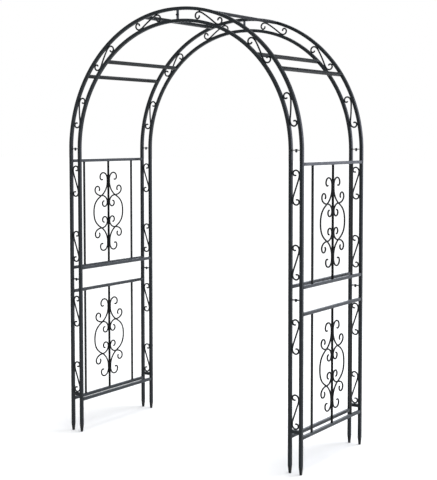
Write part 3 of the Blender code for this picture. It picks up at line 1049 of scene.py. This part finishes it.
@dataclass(frozen=True)
class Rails(Assembly):
    """Level tubes between the front and back frames, with the round side bars they carry."""

    side_bar_y: float = 196 * MM
    kinds: tuple[str, ...] = ("rail_bottom", "rail_lower_top", "rail_upper_bottom", "rail_top",
                              "rail_bottom_inner", "rail_middle_inner")
    barred: tuple[tuple[str, str], ...] = (("rail_bottom", "rail_lower_top"),
                                           ("rail_upper_bottom", "rail_top"))

    def centre(self, node: str) -> np.ndarray:
        """Middle of a rail; a rail that carries bars is measured up from its underside."""
        low, high = map(np.array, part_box(node))
        return np.array(((low[0] + high[0]) / 2, 0, low[2] + self.sizes.rail / 2))

    def tube(self, centre: np.ndarray, up: np.ndarray) -> Skin:
        """Tube along Y with a weld collar against each frame.

        Args:
            centre: Middle of the tube.
            up: Direction of one pair of its faces.

        Returns:
            The joined skins.
        """
        half = self.sizes.rail_end * Y_AXIS
        path = np.linspace(centre - half, centre + half, 14)
        return Weld(radius=0.7 * MM).collared(self.sizes.rail_section(), path,
                                              np.cross(Y_AXIS, up), up)

    def dress(self) -> None:
        """Makes the twelve rails and gives them their coat."""
        tops = dict(self.barred)
        for kind in self.kinds:
            for side in Side:
                node = f"{kind}_{side.name.lower()}"
                centre = self.centre(node)
                skins = [self.tube(centre, Z_AXIS)]
                if kind in tops:
                    top = self.centre(f"{tops[kind]}_{side.name.lower()}")
                    half = self.sizes.rail / 2
                    ends = (centre[2] + half, top[2] - half)
                    skins += [self.sizes.upright_bar(centre[0], y, *ends, 8).thickly_coated()
                              for y in (-self.side_bar_y, self.side_bar_y)]
                self.show(Skin.joined(skins), f"{node}_tube", Slot.RAIL, node)


@dataclass(frozen=True)
class PanelScrollwork(Assembly):
    """Centre bar of a side panel with its two bows and four small scrolls of bent wire."""

    bulge: float = 120 * MM
    bow: tuple[Turn, ...] = (Turn(32.5, 123.5 * MM, 60.6 * MM), Turn(32.5, 60.6 * MM, 158.9 * MM),
                             Turn(-65, 116.2 * MM, 64.6 * MM))
    bow_run: float = 16 * MM
    bow_curl: tuple[Turn, ...] = (Turn(-90, 38 * MM, 30 * MM), Turn(-90, 30 * MM, 20 * MM),
                                  Turn(-130, 17 * MM, 10 * MM))
    crossing: tuple[float, float] = (54.8 * MM, 88 * MM)
    outer_curl: tuple[Turn, ...] = (Turn(65, 110 * MM, 20 * MM), Turn(140, 20 * MM, 19 * MM),
                                    Turn(125, 19 * MM, 8.5 * MM))
    inner_curl: tuple[Turn, ...] = (Turn(90, 62 * MM, 26 * MM), Turn(90, 26 * MM, 20 * MM),
                                    Turn(90, 20 * MM, 15 * MM), Turn(100, 15 * MM, 10 * MM))
    beside_bar: float = 9.4 * MM
    proud: float = 0.6 * MM
    drawn_over: float = 100 * MM
    tack_faces: tuple[float, float] = (-3.7 * MM, 3.9 * MM)
    tack_halves: tuple[float, float, float] = (7 * MM, 5 * MM, 3.5 * MM)

    def bow_path(self) -> np.ndarray:
        """Bow beside the bar, from its lower curl to its upper one, as (across, along).

        Returns:
            Points; the upper half is drawn in to the bar evenly over its first 100 mm.
        """
        rise = bend((self.bulge, 0), 90, self.bow)
        excess = rise[-1, 0] - self.beside_bar
        rise[:, 0] -= excess * np.minimum(1, rise[:, 1] / self.drawn_over)
        curl = bend(rise[-1], 90, (Run(self.bow_run), *self.bow_curl))
        half = np.concatenate((rise, curl[1:]))
        return np.concatenate((half[:0:-1] * (1, -1), half))

    def small_path(self) -> np.ndarray:
        """Small scroll through the bow, from its outer curl to its inner one.

        Returns:
            Points; the inner part is drawn in until it lies against the bar.
        """
        outward = bend(self.crossing, 0, self.outer_curl)
        inward = bend(self.crossing, 180, self.inner_curl)
        nearest = inward[:, 0].min()
        share = np.minimum(1, (self.crossing[0] - inward[:, 0]) / (self.crossing[0] - nearest))
        inward[:, 0] -= (nearest - self.beside_bar) * share
        return np.concatenate((outward[:0:-1], inward))

    def wire(self, flat: np.ndarray, proud: float) -> Skin:
        """Wire along a path given as (across, along), with Y across and Z along the panel."""
        path = np.stack((np.full(len(flat), proud), flat[:, 0], flat[:, 1]), -1)
        return Section.round(self.sizes.wire, 12).along(path, X_AXIS, 0.7 * MM)

    def half(self) -> Skin:
        """Wires and tack welds on one side of the bar, about the panel's middle.

        The welds are in pairs, one on each face of the panel: where the bow lies against the
        bar, where the small scroll touches the bar, and where the two wires cross.

        Returns:
            The joined skins.
        """
        bow = self.bow_path()
        small = self.small_path()
        beside = np.abs(bow[:, 0] - self.beside_bar) < 0.2 * MM
        run = np.abs(bow[beside, 1])
        touch = small[small[:, 0].argmin(), 1]
        contacts = ((self.sizes.bar, (run.min() + run.max()) / 2), (self.sizes.bar, touch),
                    self.crossing)
        weld = Weld(radius=1.25 * MM)
        skins = [self.wire(bow, 0)]
        for way in (1, -1):
            skins.append(self.wire(small * (1, way), self.proud))
            skins += [weld.seam((x, y, way * middle), reach * Z_AXIS)
                      for (y, middle), reach in zip(contacts, self.tack_halves)
                      for x in self.tack_faces]
        return Skin.joined(skins)

    def dress(self) -> None:
        """Makes the four panels' scrollwork and gives it its coat."""
        half = self.half()
        for level in ("lower", "upper"):
            for side in Side:
                node = f"scrollwork_{level}_{side.name.lower()}"
                low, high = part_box(node)
                ends = (low[2] - self.sizes.gap, high[2] + self.sizes.gap)
                bar = self.sizes.upright_bar(0, 0, *ends, 10)
                wires = [half.mirrored(side, end).moved(z=sum(ends) / 2) for end in End]
                panel = Skin.joined([bar, *wires]).moved(x=side.value * self.sizes.outer_x)
                self.show(panel, f"{node}_wirework", Slot.SCROLLWORK, node)


@dataclass(frozen=True)
class CrossBars(Rails):
    """Six square bars that join the front arch to the back one, square to the arc."""

    levels: tuple[str, ...] = ("low", "mid", "high")

    def dress(self) -> None:
        """Makes the bars and gives them their coat."""
        for level in self.levels:
            for side in Side:
                node = f"cross_bar_{level}_{side.name.lower()}"
                centre = np.mean(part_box(node), axis=0)
                outwards = centre - (side.value * self.sizes.arc_centre_x, 0,
                                     self.sizes.spring_z)
                bar = self.tube(centre, outwards / np.linalg.norm(outwards))
                self.show(bar, f"{node}_tube", Slot.CROSS_BAR, node)


# ---- fasteners -------------------------------------------------------------------


@dataclass(frozen=True)
class JointBolt(Assembly):
    """Dome-headed bolt with a hexagon nut, clamping two plates."""

    head_radius: float = 6.4 * MM
    head_height: float = 3.6 * MM
    shank: float = 3.0 * MM
    stem: float = 8.0 * MM
    nut_flats: float = 10.0 * MM
    nut_height: float = 5.0 * MM
    pitch: float = 1.0 * MM
    thread_depth: float = 0.35 * MM
    head_columns: int = 32
    nut_columns: int = 48

    def bolt(self, face: float) -> Skin:
        """Head and stem in one skin, with a helical thread on the stem.

        The head is half an ellipse with a rolled rim. The stem's radius is the shank's less
        depth * |2 * frac(height / pitch - angle) - 1|, which makes one thread each pitch.

        Args:
            face: Distance from the joint to the plate's outer face.

        Returns:
            The closed skin.
        """
        dome = np.radians(np.linspace(4, 78, 9))
        radius = np.concatenate((self.head_radius * np.sin(dome),
                                 self.head_radius * np.array((1.0, 1.0, 0.97)), (self.shank,)))
        height = np.concatenate((face + self.head_height * np.cos(dome) ** 0.9,
                                 face + np.array((0.6, 0.2, 0.0)) * MM, (face,)))
        exposed = np.concatenate((np.linspace(0.45, 0.3, 9), (0.9, 0.9, 0.5, 0.1)))
        columns = self.head_columns
        levels = np.arange(-face, -face - self.stem + 0.3 * MM, -self.pitch / 8)
        phase = levels[:, None] / self.pitch - np.arange(columns) / columns
        groove = np.abs(2 * (phase % 1) - 1)
        point = np.clip((levels + face + self.stem) / (0.8 * MM), 0, 1)[:, None]
        stem = (self.shank - self.thread_depth * groove) * (0.82 + 0.18 * point)
        radius = np.concatenate((radius[:, None] * np.ones(columns), stem,
                                 np.full((1, columns), self.shank * 0.75)))
        height = np.concatenate((height, levels, (-face - self.stem,)))
        exposed = np.concatenate((exposed, np.full(len(levels), 0.35), (0.6,)))
        return Skin.spun(radius, height, exposed, columns)

    def nut(self, face: float) -> Skin:
        """Hexagon nut with chamfered corners: the lesser of a hexagon's and a cone's radius.

        Args:
            face: Distance from the joint to the plate's outer face.

        Returns:
            The closed skin.
        """
        turn = full_turn(self.nut_columns) + np.pi / 6
        hexagon = self.nut_flats / 2 / np.cos(turn % (np.pi / 3) - np.pi / 6)
        depth = self.nut_height * np.array((0, 0.04, 0.1, 0.2, 0.5, 0.8, 0.9, 0.96, 1))
        rim = np.minimum(depth, self.nut_height - depth)
        cone = self.nut_flats / 2 * 0.96 + 1.5 * rim
        radius = np.minimum(hexagon[None, :], cone[:, None])
        exposed = np.clip(1 - rim / (1.2 * MM), 0.25, 1)
        return Skin.spun(radius, -face - depth, exposed, self.nut_columns)

    def dress(self) -> None:
        """Makes the ten bolts and gives them their finish."""
        sizes = self.sizes
        face = sizes.plate + sizes.plate_face + sizes.gap
        upright = Skin.joined([self.bolt(face), self.nut(face)])
        lying = upright.shaped(lambda points: points[:, [2, 1, 0]] * (1, 1, -1))
        for end in End:
            places = {}
            for level, z in (("lower", sizes.joint_z), ("spring", sizes.arch_joint_z)):
                for side in Side:
                    joint = f"{level}_{end.name.lower()}_{side.name.lower()}"
                    places[joint] = (upright, side.value * sizes.middle_x, z)
            places[f"apex_{end.name.lower()}"] = (lying, 0, sizes.apex_bolt_z)
            for joint, (skin, x, z) in places.items():
                self.show(skin.moved(x, end.value * sizes.frame_y, z),
                          f"bolt_{joint}_and_nut", Slot.BOLT, f"bolt_{joint}")


@dataclass(frozen=True)
class RailPlugs(Assembly):
    """Small domed plugs that close the three holes in each middle inner rail."""

    radius: float = 4.0 * MM
    height: float = 1.1 * MM
    places: tuple[float, ...] = (-196 * MM, 0.0, 196 * MM)

    def plug(self) -> Skin:
        """Shallow dome with a rolled rim, along X: radius * sin t out, height * cos t up.

        Returns:
            The closed skin.
        """
        turn = np.radians(np.linspace(5, 90, 8))
        radius = np.append(self.radius * np.sin(turn), self.radius * 0.8)
        height = np.append(self.height * np.cos(turn), -0.4 * MM)
        dome = Skin.spun(radius, height, np.full(9, 0.2), 20)
        return dome.shaped(lambda points: points[:, [2, 0, 1]])

    def dress(self) -> None:
        """Makes the plugs of each side as one piece and gives them their finish."""
        for side in Side:
            low, high = map(np.array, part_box(f"rail_middle_inner_{side.name.lower()}"))
            face = max(abs(low[0]), abs(high[0]))
            plugs = [self.plug().moved(face, y, (low[2] + high[2]) / 2) for y in self.places]
            self.show(Skin.joined(plugs).mirrored(side), f"hole_plugs_{side.name.lower()}",
                      Slot.SCROLLWORK)


# ---- studio ----------------------------------------------------------------------


@dataclass(frozen=True)
class SoftLight:
    """Square soft box, aimed at a point."""

    name: str
    place: tuple[float, float, float]
    target: tuple[float, float, float]
    size: float
    power: float
    colour: str = "#ffffff"
    sheen_only: bool = False

    def hang(self) -> None:
        """Adds the light to the scene."""
        lamp = bpy.data.lights.new(self.name, "AREA")
        lamp.shape = "SQUARE"
        lamp.size = self.size
        lamp.energy = self.power
        lamp.color = linear(self.colour)[:3]
        box = placed(self.name, lamp)
        box.visible_camera = False
        box.visible_diffuse = not self.sheen_only
        box.location = self.place
        aim = Vector(self.target) - Vector(self.place)
        box.rotation_euler = aim.to_track_quat("-Z", "Y").to_euler()


@dataclass(frozen=True)
class Studio:
    """Plain white studio: a level floor, a lit ceiling, three soft boxes and the camera."""

    floor_half: float = 60.0
    backdrop: float = 1.0
    fill: float = 0.30
    ceiling: float = 3.25
    ceiling_spread: float = 70.0
    ceiling_lean: tuple[float, float, float] = (-8.0, 14.0, 0.0)
    lights: tuple[SoftLight, ...] = (
        SoftLight("right_soft_box", (3.2, 3.6, 2.2), (0.5, 0.0, 1.1), 2.6, 120.0, "#e6e8fa"),
        SoftLight("lit_back_wall", (-2.6, 6.0, 2.4), (0.5, 0.0, 1.0), 4.5, 190.0, "#eef2fb",
                  sheen_only=True),
        SoftLight("front_soft_box", (-2.8, -4.9, 3.3), (0.0, -0.3, 1.8), 2.4, 32.0, "#eaf2f2",
                  sheen_only=True),
    )
    eye: tuple[float, float, float] = (3.0987, -4.4707, 1.5382)
    yaw: float = 33.405
    pitch: float = -3.159
    focal_mm: float = 87.94
    shift: tuple[float, float] = (-0.0432, -0.0970)

    def lay_floor(self) -> None:
        """Lays the floor as one large level quad, a grid of one step each way."""
        across, along = np.meshgrid((-1.0, 1.0), (-1.0, 1.0))
        corners = self.floor_half * np.stack((across, along, np.zeros((2, 2))), -1)
        mesh = bpy.data.meshes.new("studio_floor")
        mesh.from_pydata(corners.reshape(-1, 3).tolist(), [], [(0, 1, 3, 2)])
        mesh.materials.append(PaintedFloor().material())
        floor = placed("studio_floor", mesh)

    def light(self) -> None:
        """Sets the white backdrop with its dimmer fill, the lit ceiling and the soft boxes."""
        world = bpy.data.worlds.new("white_backdrop")
        world.use_nodes = True
        tree = world.node_tree
        tree.nodes.clear()
        seen, cast = (
            add(tree, "Background", {"Strength": strength, "Color": linear(colour)})
            for strength, colour in ((self.backdrop, "#ffffff"), (self.fill, "#eef2f8")))
        camera_ray = add(tree, "LightPath", out="Is Camera Ray")
        either = add(tree, "MixShader", {0: camera_ray, 1: cast, 2: seen})
        add(tree, "OutputWorld", {"Surface": either})
        bpy.context.scene.world = world
        lamp = bpy.data.lights.new("lit_ceiling", "SUN")
        lamp.energy = self.ceiling
        lamp.angle = math.radians(self.ceiling_spread)
        ceiling = placed("lit_ceiling", lamp)
        ceiling.rotation_euler = [math.radians(turn) for turn in self.ceiling_lean]
        for box in self.lights:
            box.hang()
        bpy.context.scene.view_settings.view_transform = "Standard"

    def aim_camera(self) -> None:
        """Sets up the camera, a little right of the arch and at shoulder height."""
        lens = bpy.data.cameras.new("camera")
        lens.sensor_fit = "HORIZONTAL"
        lens.sensor_width = 36.0
        lens.lens = self.focal_mm
        lens.shift_x, lens.shift_y = self.shift
        lens.clip_end = 200.0
        camera = placed("camera", lens)
        camera.location = self.eye
        camera.rotation_euler = (math.radians(90 + self.pitch), 0.0, math.radians(self.yaw))
        bpy.context.scene.camera = camera


def main() -> None:
    """Builds the camera, the arch and the studio in order."""
    logging.basicConfig(level=logging.INFO, format="%(name)s: %(message)s")
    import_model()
    studio = Studio()
    studio.aim_camera()
    sizes = Sizes.from_frame()
    finishes = coats()
    for kind in (Ladder, Rails, PanelScrollwork, CrossBars, JointBolt, RailPlugs):
        kind(sizes, finishes).dress()
        LOG.info("dressed %s", kind.__name__)
    studio.lay_floor()
    studio.light()


if __name__ == "__main__":
    main()
